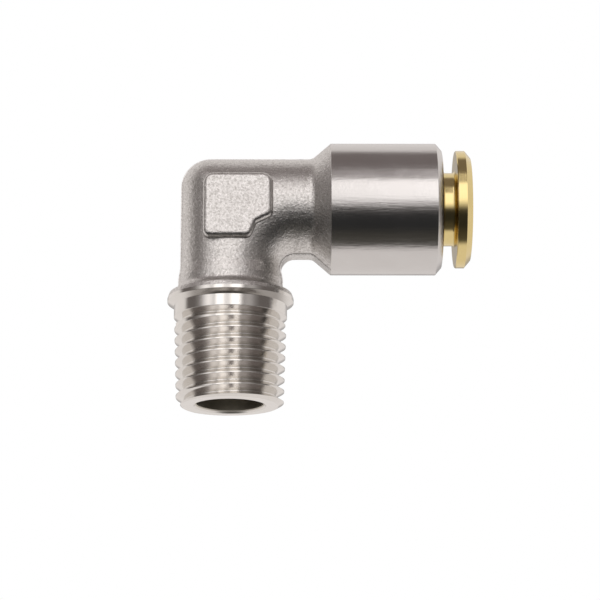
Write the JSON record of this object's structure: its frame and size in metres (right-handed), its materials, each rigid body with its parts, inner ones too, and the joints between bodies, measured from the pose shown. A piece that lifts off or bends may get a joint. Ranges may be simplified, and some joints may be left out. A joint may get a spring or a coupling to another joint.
{
  "type": "push-in elbow fitting",
  "caption": "Push-in elbow fitting for tube: forged right-angle body with a male taper thread, a turned tube socket and a sliding release collar.",
  "frame": {"origin": "on the thread's axis in its hand-tight gauge plane, 5.79 mm above the thread's small end, where the port's face meets the thread", "axes": "+Z along the thread's axis towards the elbow, so the thread points down; +X along the tube socket, out of its mouth"},
  "size_m": [0.0377, 0.0164, 0.0335],
  "materials": {
    "nickel_plated_brass": "nickel plated; satin sand-blasted forging, bright turned sleeve and thread",
    "brass": "bright turned brass",
    "stainless": "bright spring strip",
    "seal_rubber": "smooth, dark"
  },
  "bodies": {
    "fitting": {"elbow_body": "nickel_plated_brass", "retaining_ring": "brass", "support_ring": "brass", "grab_ring": "stainless", "o_ring": "seal_rubber"},
    "release_collar": {"release_collar": "brass"}
  },
  "joints": [
    {"name": "collar_push", "type": "slide", "parent": "fitting", "child": "release_collar", "axis": [-1, 0, 0], "range_m": [0, 0.0012]}
  ]
}
